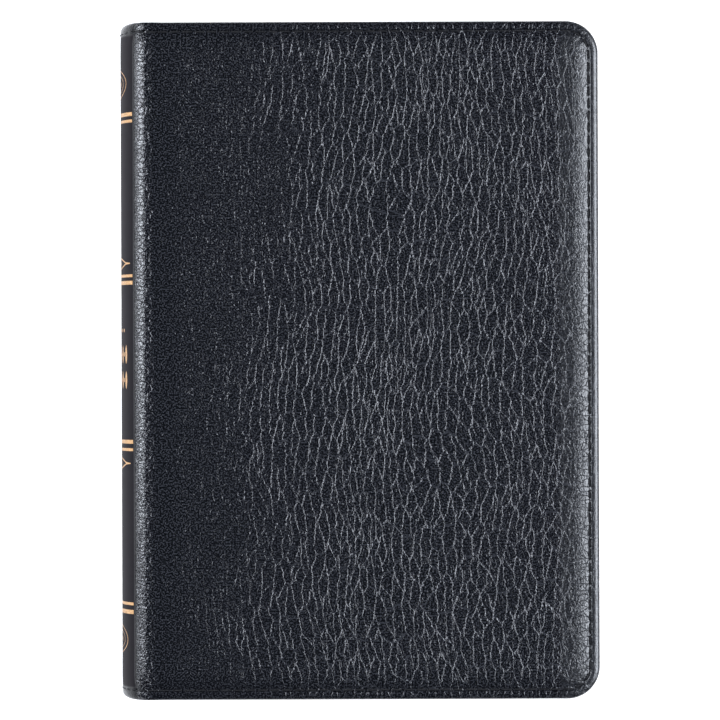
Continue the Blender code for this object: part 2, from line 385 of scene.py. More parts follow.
def cap_shrink(y):
    """How far the spine has rounded in near its head and tail."""
    cap = np.where(y > 0, CAP_HEAD, CAP_TAIL)
    into = np.clip(np.abs(y) - (HALF - cap), 0, cap)
    return cap - np.sqrt(np.maximum(cap**2 - into**2, 0))


PANEL_FROM_SEAM = 3.8 * MM
SEAM_TURN = math.acos((LIMB + SPINE_DEEP - SEAM) / SPINE_DEEP)


def spine_place(turn, y, depth):
    """A point of the spine's skin. Turn 0 faces away from the pages, and the covers are met at plus and
    minus SEAM_TURN."""
    shrink = np.minimum(cap_shrink(y), SPINE_DEEP / 2) * np.cos(turn)
    nx, nz = np.cos(turn) / SPINE_DEEP, np.sin(turn) / MID
    size = np.hypot(nx, nz)
    x = LIMB + SPINE_DEEP - (SPINE_DEEP - shrink) * np.cos(turn) + depth * nx / size
    z = MID + MID * np.sin(turn) - depth * nz / size
    return np.stack([x, y, z], -1)


SPINE_TURNS = np.linspace(-SEAM_TURN, SEAM_TURN, 401)
LEVEL = np.zeros_like(SPINE_TURNS)
SPINE_STEPS = np.linalg.norm(np.diff(spine_place(SPINE_TURNS, LEVEL, LEVEL), axis=0), axis=1)
SPINE_LENGTHS = np.concatenate([[0], np.cumsum(SPINE_STEPS)])
SPINE_GIRTH = SPINE_LENGTHS[-1]
TO_SEAM = (HALF - CORNER) + (CORNER - CREASE) * math.pi / 2 + (FORE - CORNER) - SEAM


def turn_at(length):
    """Turn at a length across the spine from its middle, positive towards the front cover."""
    return np.interp(length + SPINE_GIRTH / 2, SPINE_LENGTHS, SPINE_TURNS)


def spine_leather(material):
    """The spine's skin, with the grain pressed out of the panel that carries the gold."""
    half = SPINE_GIRTH / 2
    near = half - NEAR_SEAM[:8]
    middle_part = even(NEAR_SEAM[8] - half, half - NEAR_SEAM[8], 0.6 * MM)
    across = np.concatenate([-near, middle_part, near[::-1]])
    a, q, sign = whole_height(across, cover_lines()[1])
    turn = turn_at(a)
    y = np.where(q > 0, radial_top(np.maximum(q, 0)), q) + HALF - CORNER
    inset = CORNER - np.minimum(q, CORNER - BEAD)
    bead = bead_turn(q)
    along = TO_SEAM + half - a
    middle = (np.cos(turn) - math.cos(SEAM_TURN)) / (1 - math.cos(SEAM_TURN))
    edge = (BEAD_DROP + BEAD_UPPER * (SPINE_RIM - BEAD_DROP)) * (1 - 0.5 * middle)
    upper = BEAD_DROP * (1 - SPINE_CALM * middle)
    upper = upper + (edge - upper) * (1 - np.cos(bead))
    drop = face_drop(inset, bead, SPINE_RIM, along) * (1 - SPINE_CALM * middle)
    drop = np.where(bead > 0, upper, drop)
    drop = np.where(bead > math.pi / 2, edge - (SPINE_RIM - edge) * np.cos(bead), drop)
    u = (a - half) / MM
    v = y * sign / MM
    pressed = smooth(inset, CREASE + 0.4 * MM, CREASE + 5 * MM) * (bead == 0)
    panel = smooth(half - np.abs(a), PANEL_FROM_SEAM, PANEL_FROM_SEAM + 0.3 * MM)
    panel = panel * smooth(inset, CREASE + 0.2 * MM, CREASE + 1.2 * MM) * (bead == 0)
    between_seams = smooth(-u, -0.5, 3) * smooth(u + SPINE_GIRTH / MM, -0.5, 3)
    lift = grain(u, v) * pressed * (1 - panel) * between_seams
    drop = np.maximum(drop - lift, 0)
    top = spine_place(turn, y * sign, drop)
    yu = radial_under(np.maximum(q, 0)) * (q > 0) + q * (q <= 0) + HALF - CORNER
    deep = np.maximum(LEATHER, drop + SKIN_LEAST)
    under = spine_place(turn, yu * sign, np.where(bead > 0, SPINE_RIM, deep))
    obj = shell("spine_skin", top, under, material)
    lay_out_shell(obj, u, v, panel)
    keep_calm(obj, calm_edge(inset, bead) * 0.3)
    bend_at_opening(obj)
    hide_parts("spine_leather")


def bend_at_opening(obj):
    """Bakes the placement of a piece round the pages' backs into its points, where it stays."""
    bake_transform(obj)


# --- Stitches ---


def tube_mesh(paths, radii, sides):
    """Points, faces and lengthwise places for a set of closed tubes, each along its own path."""
    points, faces, places = [], [], []
    for path, thickness in zip(paths, radii):
        path = [Vector(p) for p in path]
        start = len(points)
        side = None
        length = 0.0
        for i, at in enumerate(path):
            ahead = path[min(i + 1, len(path) - 1)] - path[max(i - 1, 0)]
            ahead.normalize()
            side = ahead.orthogonal() if side is None else side - ahead * side.dot(ahead)
            side.normalize()
            up = ahead.cross(side)
            length += (at - path[i - 1]).length if i else 0
            for k in range(sides):
                t = 2 * math.pi * k / sides
                points.append(at + thickness[i] * (math.cos(t) * side + math.sin(t) * up))
                places.append((length / MM, k / sides, 0))
        last = len(path) - 1
        for i in range(last):
            for k in range(sides):
                j = (k + 1) % sides
                a, b = start + i * sides, start + (i + 1) * sides
                faces.append([a + k, a + j, b + j, b + k])
        faces.append([start + k for k in range(sides)][::-1])
        faces.append([start + last * sides + k for k in range(sides)])
    return points, faces, places


def tubes(name, paths, radii, sides, material):
    points, faces, places = tube_mesh(paths, radii, sides)
    obj = add_object(name, points, faces, material)
    lay_out(obj, places)
    return obj


def stitch_profile():
    """Along one stitch: share of its half length, height over the crease, and thickness share."""
    steps = 9
    for k in range(steps):
        t = -1 + 2 * k / (steps - 1)
        yield t, 1 - abs(t) ** 2.5, 1 - 0.45 * abs(t) ** 4


def edge_place(length):
    """The stitch line's x and y at a length from the middle of the fore-edge, in the head half."""
    radius = CORNER - CREASE
    straight = HALF - CORNER
    if length < straight:
        return FORE - CREASE, length
    turned = (length - straight) / radius
    if turned < math.pi / 2:
        return (FORE - CORNER + radius * math.cos(turned), HALF - CORNER + radius * math.sin(turned))
    return FORE - CORNER - (length - straight - radius * math.pi / 2), HALF - CREASE


def cover_stitches(name, side, body, material):
    """Separate stitches on the outside of a cover and on its lining, drawn down at each hole."""
    paths, radii = [], []
    count = int(TO_SEAM / STITCH)
    for half in (1, -1):
        for k in range(0 if half > 0 else 1, count + 1):
            outer, inner, thick = [], [], []
            for t, height, share in stitch_profile():
                x, y = edge_place(max(0, k * STITCH + t * STITCH_LONG / 2) if k else 0)
                if k == 0:
                    y = t * STITCH_LONG / 2
                x = max(x, SEAM + 0.2 * MM)
                depth = CREASE_DROP + HOLE_DEEP - STITCH_RISE * height + float(round_drop(x))
                back = LINING_FAR - INNER_HOLE_DEEP + INNER_RISE * height
                outer.append((x, y * half, MID + side * (MID - depth)))
                inner.append((x, y * half, MID + side * (MID - back)))
                thick.append(THREAD * share)
            paths += [outer, inner]
            radii += [thick, [r * THREAD_INSIDE for r in thick]]
    obj = tubes(name, paths, radii, STITCH_SIDES, material)
    turn_over(obj)
    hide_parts(f"{body}_stitching")


def spine_stitches(name, end, node, material):
    """Stitches round the spine at its head (end 1) or tail (end -1), in step with the covers'."""
    paths, radii = [], []
    first = int(TO_SEAM / STITCH) + 1
    last = int((TO_SEAM + SPINE_GIRTH) / STITCH)
    for k in range(first, last + 1):
        path, thick = [], []
        for t, height, share in stitch_profile():
            across = SPINE_GIRTH / 2 - (k * STITCH + t * STITCH_LONG / 2 - TO_SEAM)
            across = max(-SPINE_GIRTH / 2 + 0.2 * MM, min(SPINE_GIRTH / 2 - 0.2 * MM, across))
            turn = float(turn_at(across))
            drop = CREASE_DROP * (1 - SPINE_CALM * math.cos(turn))
            drop = drop + SPINE_HOLE_DEEP - SPINE_RISE * height
            at = spine_place(np.array(turn), np.array(end * (HALF - CREASE)), np.array(drop))
            path.append(tuple(at))
            thick.append(THREAD * share)
        paths.append(path)
        radii.append(thick)
    obj = tubes(name, paths, radii, STITCH_SIDES, material)
    bend_at_opening(obj)
    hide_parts(node)


# --- Pages ---


def back_of_paper(height):
    """The pages' backs follow a round one, so that the fore-edge is hollow by as much."""
    return PAPER_BACK + BACK_ROUND - np.sqrt(BACK_ROUND**2 - np.asarray(height) ** 2)


def page_outline(back, fore, half, radius):
    """Points round a page from above, anticlockwise, with the fore-edge's corners rounded."""
    points = [(x, -half) for x in np.linspace(back, fore - radius, 5)]
    points += [(fore - radius + radius * math.sin(t), -half + radius - radius * math.cos(t))
               for t in np.linspace(0, math.pi / 2, 8)[1:]]
    points += [(fore, y) for y in np.linspace(-half + radius, half - radius, 7)[1:]]
    points += [(fore - radius + radius * math.cos(t), half - radius + radius * math.sin(t))
               for t in np.linspace(0, math.pi / 2, 8)[1:]]
    points += [(x, half) for x in np.linspace(fore - radius, back, 5)[1:]]
    points += [(back, y) for y in np.linspace(half, -half, 6)[1:-1]]
    return np.array(points)


def loft(name, loops, materials):
    """A closed solid through loops of points, one above another. Its two flat ends have the first
    material, and its sides the second."""
    count = len(loops[0])
    points = np.concatenate(loops)
    faces = [list(range(count))[::-1], [len(points) - count + k for k in range(count)]]
    for level in range(len(loops) - 1):
        low = level * count
        faces += [[low + k, low + (k + 1) % count, low + count + (k + 1) % count, low + count + k]
                  for k in range(count)]
    obj = add_object(name, points, faces, materials, shade=False)
    for polygon in obj.data.polygons:
        polygon.material_index = 0 if polygon.index < 2 else 1
    lay_out(obj, points / MM)
    return obj


LEAVES_SEEN = 8  # ridges on a section's edges, each for a few leaves
SECTION_FILL = 0.035 * MM  # sections are this much taller, above and below, than the CAD ones
GAP_FILL = 0.1 * MM  # and the two beside the opening this much more
LEAF_FILL = 0.06 * MM  # loose leaves are this much thicker, above and below
PAGE_RADIUS = CORNER - 3.2 * MM  # the paper lies this far in from the cover's edge
LEAF_SPREAD, NOTCH = 0.022, 0.11  # how unevenly the ridges end, and the notch between, in mm
FOLD_ROUND = 0.40 * MM  # rounding of the sections' folded backs
LINING_START = PAPER_BACK + 5.2 * MM
TEXT_MIDDLE = 2.0  # where a page's two columns meet, in millimetres from the middle of the book


def section(number, materials, chance):
    """One folded section: its leaves show on three edges, and its fold is rounded at the back."""
    low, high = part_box(f"section_{number:02d}")
    low_z, high_z = low.z - SECTION_FILL, high.z + SECTION_FILL
    if number == SECTIONS / 2:
        low_z -= GAP_FILL
    if number == SECTIONS / 2 + 1:
        high_z += GAP_FILL
    leaf = (high_z - low_z) / LEAVES_SEEN
    loops = []
    for k in range(LEAVES_SEEN):
        inset = abs(chance.normal(0, LEAF_SPREAD)) * MM
        for share, cut in ((0.02, NOTCH), (0.22, 0), (0.78, 0), (0.98, NOTCH)):
            z = low_z + (k + share) * leaf
            place = 2 * (z - low_z) / (high_z - low_z) - 1
            fold = FOLD_ROUND * (1 - math.sqrt(max(0, 1 - place**2)))
            back = float(back_of_paper(z - MID))
            drawn = inset + cut * MM
            outline = page_outline(back + fold, back + PAPER_WIDTH - drawn, BLOCK_HALF - drawn,
                                   PAGE_RADIUS)
            loops.append(np.column_stack([outline, np.full(len(outline), z)]))
    obj = loft(f"text_section_{number:02d}", loops, materials)
    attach(obj, FRONT if number <= SECTIONS / 2 else REAR)
    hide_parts(f"section_{number:02d}")


def level(x, y, z):
    return np.stack([x, y, np.full_like(x, z)], -1)


def page_sheet(name, node, material, dense_to=0.0):
    """A thin sheet of the page's outline. Columns near its back are closely set."""
    low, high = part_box(node)
    fill = LEAF_FILL if dense_to else 0
    fore, half = high.x, high.y
    centre_x, centre_y = fore - PAGE_RADIUS, half - PAGE_RADIUS
    inner = np.concatenate([even(low.x, low.x + dense_to, 0.8 * MM)[:-1] if dense_to else [],
                            even(low.x + dense_to, centre_x, 4 * MM)[:-1]]) - centre_x
    corner = np.linspace(0, PAGE_RADIUS, 7)
    columns = np.concatenate([inner, corner])
    upper = np.concatenate([even(0, centre_y, 8 * MM)[:-1] - centre_y, corner])
    p, q, sign = whole_height(columns, upper)
    x, y, _, _ = rounded(p, q)
    x, y = x + centre_x, (y + centre_y) * sign
    obj = shell(name, level(x, y, high.z + fill), level(x, y, low.z - fill), material)
    where = level(x, y, 0).reshape(-1, 3) / MM
    lay_out(obj, np.concatenate([where, where * [-1, 1, 1] + [2 * TEXT_MIDDLE, 0, 0]]))
    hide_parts(node)
    return obj


def lining(side, body, material):
    """The cover's lining, stuck down inside the turned-in skin and over the fold to the pages' back."""
    fore, half = FORE - LINING_INSET, HALF - LINING_INSET
    radius = CORNER - LINING_INSET
    centre_x, centre_y = fore - radius, half - radius
    columns = np.concatenate([even(LINING_START, FOLD + 5 * MM, 0.55 * MM)[:-1],
                              even(FOLD + 5 * MM, centre_x, 3 * MM)[:-1]]) - centre_x
    corner = np.linspace(0, radius, 8)
    columns = np.concatenate([columns, corner])
    upper = np.concatenate([even(0, centre_y, 6 * MM)[:-1] - centre_y, corner])
    p, q, sign = whole_height(columns, upper)
    x, y, _, _ = rounded(p, q)
    x, y = x + centre_x, (y + centre_y) * sign
    near, far = (level(x, y, MID + side * (MID - depth)) for depth in (LINING_NEAR, LINING_FAR))
    top, under = (near, far) if side > 0 else (far, near)
    obj = shell(f"{body}_doublure", top, under, material)
    lay_out_shell(obj, x / MM, y / MM)
    turn_over(obj)
    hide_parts(f"{body}_lining")


def round_back(name, node, out_from, out_to, material):
    """A cloth strip glued round the backs of the sections."""
    low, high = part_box(node)
    reach = math.asin(min(0.99, (high.z - MID) / (BACK_ROUND + out_to)))
    turns = even(-reach * BACK_ROUND, reach * BACK_ROUND, 0.5 * MM) / BACK_ROUND
    turn, y = np.meshgrid(turns, even(low.y, high.y, 3 * MM))

    def at(out):
        x = PAPER_BACK + BACK_ROUND - (BACK_ROUND + out) * np.cos(turn)
        return np.stack([x, y, MID + (BACK_ROUND + out) * np.sin(turn)], -1)

    obj = shell(name, at(out_to), at(out_from), material)
    lay_out_shell(obj, turn * BACK_ROUND / MM, y / MM)
    bend_at_opening(obj)
    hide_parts(node)


BAND_IN = 1.4 * MM  # from the pages' backs in to the headband's cord
SILK = 0.55 * MM  # from one turn of silk to the next


def headband(name, node, material):
    """Silk wound over a cord, round the backs of the sections at one end."""
    low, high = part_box(node)
    radius = (high.y - low.y) / 2
    y = (high.y + low.y) / 2
    reach = (high.z - low.z) / 2 - radius * 0.4
    path, thick = [], []
    for z in even(-reach, reach, 0.11 * MM):
        x = float(back_of_paper(z)) + BAND_IN
        path.append((x, y, MID + z))
        thick.append(radius * (0.93 + 0.07 * abs(math.sin(math.pi * z / SILK))))
    obj = tubes(name, [path], [thick], 12, material)
    bend_at_opening(obj)
    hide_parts(node)


# --- Gold tooling on the spine ---

BAR_REACH = 14.9 * MM  # the bars run this far either side of the spine's middle
BARS = ((78.9, 1.2), (76.7, 0.9), (27.3, 0.9), (25.1, 1.2), (-25.7, 1.2), (-28.2, 0.9), (-77.4, 0.9),
        (-80.0, 1.3))  # place and width of each, in millimetres
LEAF_APART = 3.55 * MM  # between the leaves of the rows in the title's place


def ribbons(name, strokes, material):
    """Thin foil strokes pressed on the spine, with their four sides. A stroke is a list of (across, up,
    width), where across runs from the spine's middle towards the front cover."""
    points, faces, places = [], [], []
    for stroke in strokes:
        start = len(points)
        count = len(stroke)
        for i, (across, up, width) in enumerate(stroke):
            before, after = stroke[max(i - 1, 0)], stroke[min(i + 1, count - 1)]
            along = Vector((after[0] - before[0], after[1] - before[1])).normalized()
            side = Vector((-along.y, along.x)) * max(width, 0.02 * MM) / 2
            for reach, lift in ((1, -0.05), (1, 0.03), (-1, 0.03), (-1, -0.05)):
                a, u = across + side.x * reach, up + side.y * reach
                at = spine_place(turn_at(np.array(a)), np.array(u), np.array(-lift * MM))
                points.append(tuple(at))
                places.append((a / MM, u / MM, 0))
        for i in range(count - 1):
            low = start + 4 * i
            faces += [[low + k, low + (k + 1) % 4, low + 4 + (k + 1) % 4, low + 4 + k]
                      for k in range(4)]
        end = start + 4 * (count - 1)
        faces += [[start, start + 3, start + 2, start + 1], [end + k for k in range(4)]]
    obj = add_object(name, points, faces, material, shade=False)
    lay_out(obj, places)
    bend_at_opening(obj)


def bar(up, width):
    return [(a, up, width) for a in even(-BAR_REACH, BAR_REACH, 0.6 * MM)]


def ring(up, half_across, half_up, width):
    turns = [2 * math.pi * k / 48 for k in range(49)]
    return [(half_across * math.cos(t), up + half_up * math.sin(t), width) for t in turns]


def lancet(across, up, tall, broad, steps=12):
    """A pointed upright leaf, filled."""
    shares = [-1 + 2 * k / steps for k in range(steps + 1)]
    return [(across, up + share * tall / 2, broad * (1 - share**2) ** 0.8) for share in shares]


def almond(up):
    """Two bowed strands that meet in points, with a stem at each end and a leaf inside."""
    shares = [-1 + k / 10 for k in range(21)]
    strands = [[(share * 10.9 * MM, up + way * 2.0 * MM * (1 - share**2), 0.42 * MM)
                for share in shares] for way in (1, -1)]
    stem = ((10.6, 0.8), (12, 0.55), (13.5, 0.3))
    stems = [[(way * reach * MM, up, width * MM) for reach, width in stem] for way in (1, -1)]
    leaf = [(share * 5 * MM, up, 1.7 * MM * (1 - share**2)) for share in shares]
    return [*strands, *stems, leaf]


def row_of_leaves(up, tall):
    """A row of leaves and lozenges, where such a book has its title."""
    strokes = []
    for k in range(-3, 4):
        strokes.append(lancet(k * LEAF_APART, up, tall, 1.5 * MM))
        if k < 3:
            strokes.append(lancet((k + 0.5) * LEAF_APART, up, 1.5 * MM, 1.0 * MM, 4))
    return strokes


def spine_tooling(material):
    """Ringed ornaments at head and tail, four pairs of bars, two almonds and the title's rows."""
    strokes = []
    for up in (88.8, -89.0):
        strokes.append(ring(up * MM, 11.3 * MM, 4.7 * MM, 0.28 * MM))
        strokes.append(ring(up * MM, 8.8 * MM, 3.1 * MM, 0.2 * MM))
        strokes += [lancet(k * 2.6 * MM, up * MM, 3.2 * MM - abs(k) * 0.7 * MM, 0.8 * MM)
                    for k in (-2, -1, 0, 1, 2)]
    strokes += [bar(up * MM, width * MM) for up, width in BARS]
    strokes += almond(31.3 * MM) + almond(-32.6 * MM)
    strokes += row_of_leaves(2.2 * MM, 6.0 * MM) + row_of_leaves(-6.0 * MM, 5.8 * MM)
    strokes += [lancet(k * 2.2 * MM, 9.9 * MM, 1.3 * MM, 0.9 * MM, 4) for k in range(-4, 5)]
    ribbons("spine_gold_tooling", strokes, material)


# --- Materials ---


class Nodes:
    """A short way to write a node material. An input is given by its name, or as i and its number."""

    def __init__(self, name, **constant):
        self.material = bpy.data.materials.new(name)
        self.material.use_nodes = True
        self.tree = self.material.node_tree
        self.shader = self.tree.nodes["Principled BSDF"]
        for key, value in constant.items():
            socket = self.shader.inputs[key.replace("_", " ")]
            socket.default_value = (*value, 1) if isinstance(value, tuple) else value

    def add(self, kind, settings=None, **inputs):
        node = self.tree.nodes.new(kind)
        for key, value in (settings or {}).items():
            setattr(node, key, value)
        for key, value in inputs.items():
            name = int(key[1:]) if key[1:].isdigit() else key.replace("_", " ")
            slot = node.inputs[name]
            if isinstance(value, bpy.types.NodeSocket):
                self.tree.links.new(value, slot)
            else:
                slot.default_value = value
        return node

    def math(self, operation, a, b=0.0):
        return self.add("ShaderNodeMath", {"operation": operation}, i0=a, i1=b).outputs[0]

    def plus(self, a, b):
        return self.math("ADD", a, b)

    def times(self, a, b):
        return self.math("MULTIPLY", a, b)

    def rest(self, share):
        """What a share leaves of the whole."""
        return self.math("SUBTRACT", 1.0, share)

    def waves(self, angle):
        return self.math("ABSOLUTE", self.math("SINE", angle))

    def ramp(self, value, low, high, to_low=0.0, to_high=1.0):
        node = self.add("ShaderNodeMapRange", {"interpolation_type": "SMOOTHSTEP"}, Value=value,
                        From_Min=low, From_Max=high, To_Min=to_low, To_Max=to_high)
        return node.outputs["Result"]

    def hide(self):
        return self.add("ShaderNodeAttribute", {"attribute_name": "hide"}).outputs["Vector"]

    def parts(self, vector):
        return self.add("ShaderNodeSeparateXYZ", {}, Vector=vector).outputs

    def scaled(self, vector, scale, turn=0.0, shift=(0, 0, 0)):
        node = self.add("ShaderNodeMapping", {}, Vector=vector, Scale=scale,
                        Rotation=(0, 0, turn), Location=shift)
        return node.outputs["Vector"]

    def noise(self, vector, scale=1.0, detail=2.0, rough=0.5, colour=False):
        node = self.add("ShaderNodeTexNoise", {}, Vector=vector, Scale=scale, Detail=detail,
                        Roughness=rough)
        return node.outputs["Color" if colour else "Fac"]

    def cells(self, vector):
        """Distance from the borders between scattered cells."""
        settings = {"feature": "DISTANCE_TO_EDGE", "voronoi_dimensions": "2D"}
        node = self.add("ShaderNodeTexVoronoi", settings, Vector=vector, Scale=1.0, Randomness=1.0)
        return node.outputs["Distance"]

    def mix(self, factor, a, b):
        node = self.add("ShaderNodeMix", {"data_type": "FLOAT"}, Factor=factor, A=a, B=b)
        return node.outputs["Result"]

    def blend(self, factor, a, b):
        """Two colours mixed, each a socket or a value."""
        node = self.add("ShaderNodeMix", {"data_type": "RGBA"}, i0=factor, i6=a, i7=b)
        return node.outputs[2]

    def colours(self, factor, *stops):
        node = self.add("ShaderNodeValToRGB", {}, Fac=factor)
        ramp = node.color_ramp
        while len(ramp.elements) < len(stops):
            ramp.elements.new(0.5)
        for element, (at, colour) in zip(ramp.elements, stops):
            element.position = at
            element.color = (*colour, 1)
        return node.outputs["Color"]

    def offset(self, colour, size):
        """A vector about zero from a noise's colour."""
        half = (0.5, 0.5, 0.5)
        middle = self.add("ShaderNodeVectorMath", {"operation": "SUBTRACT"}, i0=colour, i1=half)
        middle = middle.outputs[0]
        return self.add("ShaderNodeVectorMath", {"operation": "MULTIPLY"}, i0=middle, i1=size).outputs[0]

    def sum(self, a, b):
        return self.add("ShaderNodeVectorMath", {"operation": "ADD"}, i0=a, i1=b).outputs[0]

    def link(self, socket, name):
        self.tree.links.new(socket, self.shader.inputs[name])

    def bump(self, height):
        """height is in millimetres."""
        node = self.add("ShaderNodeBump", {}, Height=height, Strength=1.0, Distance=MM)
        self.link(node.outputs["Normal"], "Normal")


def leather_material():
    """Black leather. Sizes are in millimetres on the skin: "across" runs from the seam beside the spine
    towards the fore-edge, and "up" towards the head."""
    n = Nodes("black_pebbled_leather")
    across, up, panel = n.parts(n.hide())
    flat = n.add("ShaderNodeCombineXYZ", {}, X=across, Y=up, Z=0.0).outputs[0]

    # The skin's long creases lean one way and another, and wander as they run
    lean = n.offset(n.noise(n.scaled(flat, (0.016, 0.016, 1)), 1, 1, colour=True), (17, 4, 0))
    wander = n.offset(n.noise(flat, 0.36, 3, 0.55, colour=True), (2.2, 1.4, 0))
    moved = n.sum(n.sum(flat, lean), wander)
    jitter = n.offset(n.noise(flat, 1.1, 1, colour=True), (0.7, 0.7, 0))
    long_cells = n.cells(n.scaled(moved, (1 / 2.7, 1 / 8.0, 1)))
    mid_cells = n.cells(n.scaled(moved, (1 / 1.45, 1 / 3.0, 1), shift=(7, 3, 0)))
    fine_cells = n.cells(n.scaled(n.sum(flat, jitter), (1 / 0.8, 1 / 1.05, 1), shift=(3, 9, 0)))

    # They are deep over most of the cover and fade out beside the spine
    drift = n.times(n.math("SUBTRACT", n.noise(flat, 0.03, 1), 0.5), 70)
    coarse = n.ramp(n.plus(n.plus(across, drift), n.times(up, -0.08)), -10, 90)
    uneven = n.ramp(n.noise(flat, 0.16, 2), 0.3, 0.62, 0.5, 1.0)
    pores = n.noise(flat, 1.15, 2, 0.5)
    height = n.times(n.ramp(long_cells, 0.0, 0.055), n.times(n.times(coarse, uneven), 0.085))
    for part, near_spine, elsewhere in ((n.ramp(mid_cells, 0.0, 0.12), 0.016, 0.024),
                                        (n.ramp(fine_cells, 0.0, 0.3), 0.034, 0.024),
                                        (pores, 0.12, 0.10)):
        height = n.plus(height, n.times(part, n.mix(coarse, near_spine, elsewhere)))

    # The filled edge is crossed by slanting creases
    slanting = n.cells(n.scaled(n.sum(flat, wander), (1 / 3.6, 1 / 1.9, 1), turn=0.7))
    filled = n.times(n.ramp(across, 126, 137), n.ramp(up, 90, -20))
    height = n.plus(height, n.times(n.ramp(slanting, 0.0, 0.07), n.times(filled, 0.08)))

    # The shoulder over the spine is creased crosswise, the fold beside it is stretched, and the
    # pressed panel is nearly smooth
    crosswise = n.cells(n.scaled(n.sum(flat, wander), (1 / 2.6, 1 / 1.35, 1), turn=0.2))
    shoulder = n.times(n.ramp(across, -5, -2), n.ramp(across, 5, 1))
    height = n.plus(height, n.times(n.times(n.ramp(crosswise, 0.0, 0.12), shoulder), 0.10))
    beside_fold = n.times(n.ramp(across, 0, 3), n.ramp(across, 14, 5))
    height = n.times(height, n.rest(n.times(beside_fold, 0.35)))
    calm = n.add("ShaderNodeAttribute", {"attribute_name": "calm"}).outputs["Fac"]
    height = n.times(height, n.rest(n.math("MAXIMUM", panel, calm)))
    n.bump(n.plus(height, n.times(n.noise(flat, 1.3, 2), 0.008)))

    # Painted highlights: small flecks and the long creases are coloured paler than the skin between
    # them, in place of the glints the lights catch there, but not on the spine's own side of the
    # shoulder
    glint_flecks = n.ramp(n.noise(flat, 1.9, 1, 0.5), 0.46, 0.62)
    crease_glints = n.times(n.rest(n.ramp(long_cells, 0.015, 0.045)), n.times(coarse, 0.9))
    painted_glints = n.times(n.math("MAXIMUM", glint_flecks, crease_glints), n.ramp(across, -3.8, -2.8))
    # the paler stop is the painted glint colour of the flecks and creases
    skin = n.colours(painted_glints, (0.0, (0.0005, 0.0008, 0.0022)), (1.0, (0.0290, 0.0305, 0.0365)))
    pressed = n.colours(n.noise(flat, 0.4, 3), (0.3, (0.0062, 0.0047, 0.0070)),
                        (0.7, (0.0078, 0.0060, 0.0087)))
    n.link(n.blend(panel, skin, pressed), "Base Color")
    rough = n.plus(0.15, n.times(n.noise(flat, 0.7, 3), 0.06))
    rough = n.plus(rough, n.ramp(across, 130, 133, 0.0, 0.10))
    n.link(n.mix(panel, rough, 0.6), "Roughness")
    dull = n.math("MAXIMUM", panel, n.ramp(across, -2.8, -3.8, 0.0, 0.8))
    n.link(n.mix(dull, 0.75, 0.10), "Specular IOR Level")
    return n.material


def thread_material():
    n = Nodes("waxed_black_thread", Base_Color=(0.004, 0.004, 0.006), Specular_IOR_Level=0.3)
    place = n.hide()
    along, around, _ = n.parts(place)
    ply = n.plus(n.times(along, 2.4), n.times(around, 2))
    n.bump(n.times(n.waves(n.times(ply, math.pi)), 0.06))
    n.link(n.plus(0.42, n.times(n.noise(place, 3, 2), 0.2)), "Roughness")
    return n.material


def gold_material():
    n = Nodes("gold_foil", Metallic=1.0)
    place = n.hide()
    worn = n.noise(place, 1.6, 4, 0.6)
    n.link(n.colours(worn, (0.3, (0.40, 0.22, 0.10)), (0.75, (0.72, 0.46, 0.24))), "Base Color")
    n.link(n.ramp(worn, 0.3, 0.75, 0.46, 0.30), "Roughness")
    n.bump(n.times(n.noise(place, 5, 3), 0.03))
    return n.material


def paper_edge_material():
    """Gilt edges, with the leaves' fine lines along them."""
    n = Nodes("gilt_page_edges", Metallic=1.0)
    lines = n.noise(n.scaled(n.hide(), (0.12, 0.12, 14)), 1, 3, 0.6)
    n.link(n.colours(lines, (0.3, (0.44, 0.28, 0.11)), (0.7, (0.74, 0.54, 0.26))), "Base Color")
    n.link(n.ramp(lines, 0.3, 0.75, 0.62, 0.48), "Roughness")
    n.bump(n.times(lines, 0.05))
    return n.material


def paper_colour(n, flat):
    fibres = n.noise(n.scaled(flat, (0.6, 0.6, 0.6)), 1, 4, 0.6)
    return n.colours(fibres, (0.35, (0.80, 0.76, 0.66)), (0.7, (0.86, 0.83, 0.74)))


def printed_paper_material():
    """Thin paper with two columns of grey bars, where such a page has its text."""
    n = Nodes("printed_bible_paper", Roughness=0.75, Specular_IOR_Level=0.25)
    place = n.hide()
    across, up, _ = n.parts(place)
    line = n.math("DIVIDE", up, 2.9)
    row = n.math("FLOOR", line)
    off_line = n.math("ABSOLUTE", n.math("SUBTRACT", n.math("FRACT", line), 0.5))
    tall = n.math("LESS_THAN", off_line, 0.19)
    cell = n.math("FLOOR", n.math("DIVIDE", across, 0.85))
    spot = n.add("ShaderNodeCombineXYZ", {}, X=cell, Y=row, Z=0.0).outputs[0]
    chance = n.add("ShaderNodeTexWhiteNoise", {}, Vector=spot).outputs["Value"]
    word = n.math("GREATER_THAN", chance, 0.19)
    in_text = n.math("LESS_THAN", n.math("ABSOLUTE", up), 92.0)
    column = n.math("SUBTRACT", n.math("ABSOLUTE", n.math("SUBTRACT", across, TEXT_MIDDLE)), 31.0)
    in_column = n.math("LESS_THAN", n.math("ABSOLUTE", column), 28.0)
    ink = n.times(n.times(tall, word), n.times(in_text, in_column))
    grey = (0.055, 0.053, 0.055, 1)
    n.link(n.blend(n.times(ink, 0.72), paper_colour(n, place), grey), "Base Color")
    n.bump(n.times(n.noise(place, 1.5, 4, 0.6), 0.02))
    return n.material


def end_paper_material():
    n = Nodes("laid_end_paper", Roughness=0.7, Specular_IOR_Level=0.3)
    laid = n.noise(n.scaled(n.hide(), (0.25, 2.2, 1)), 1, 3, 0.6)
    n.link(n.colours(laid, (0.3, (0.60, 0.54, 0.43)), (0.7, (0.70, 0.64, 0.53))), "Base Color")
    n.bump(n.times(laid, 0.03))
    return n.material


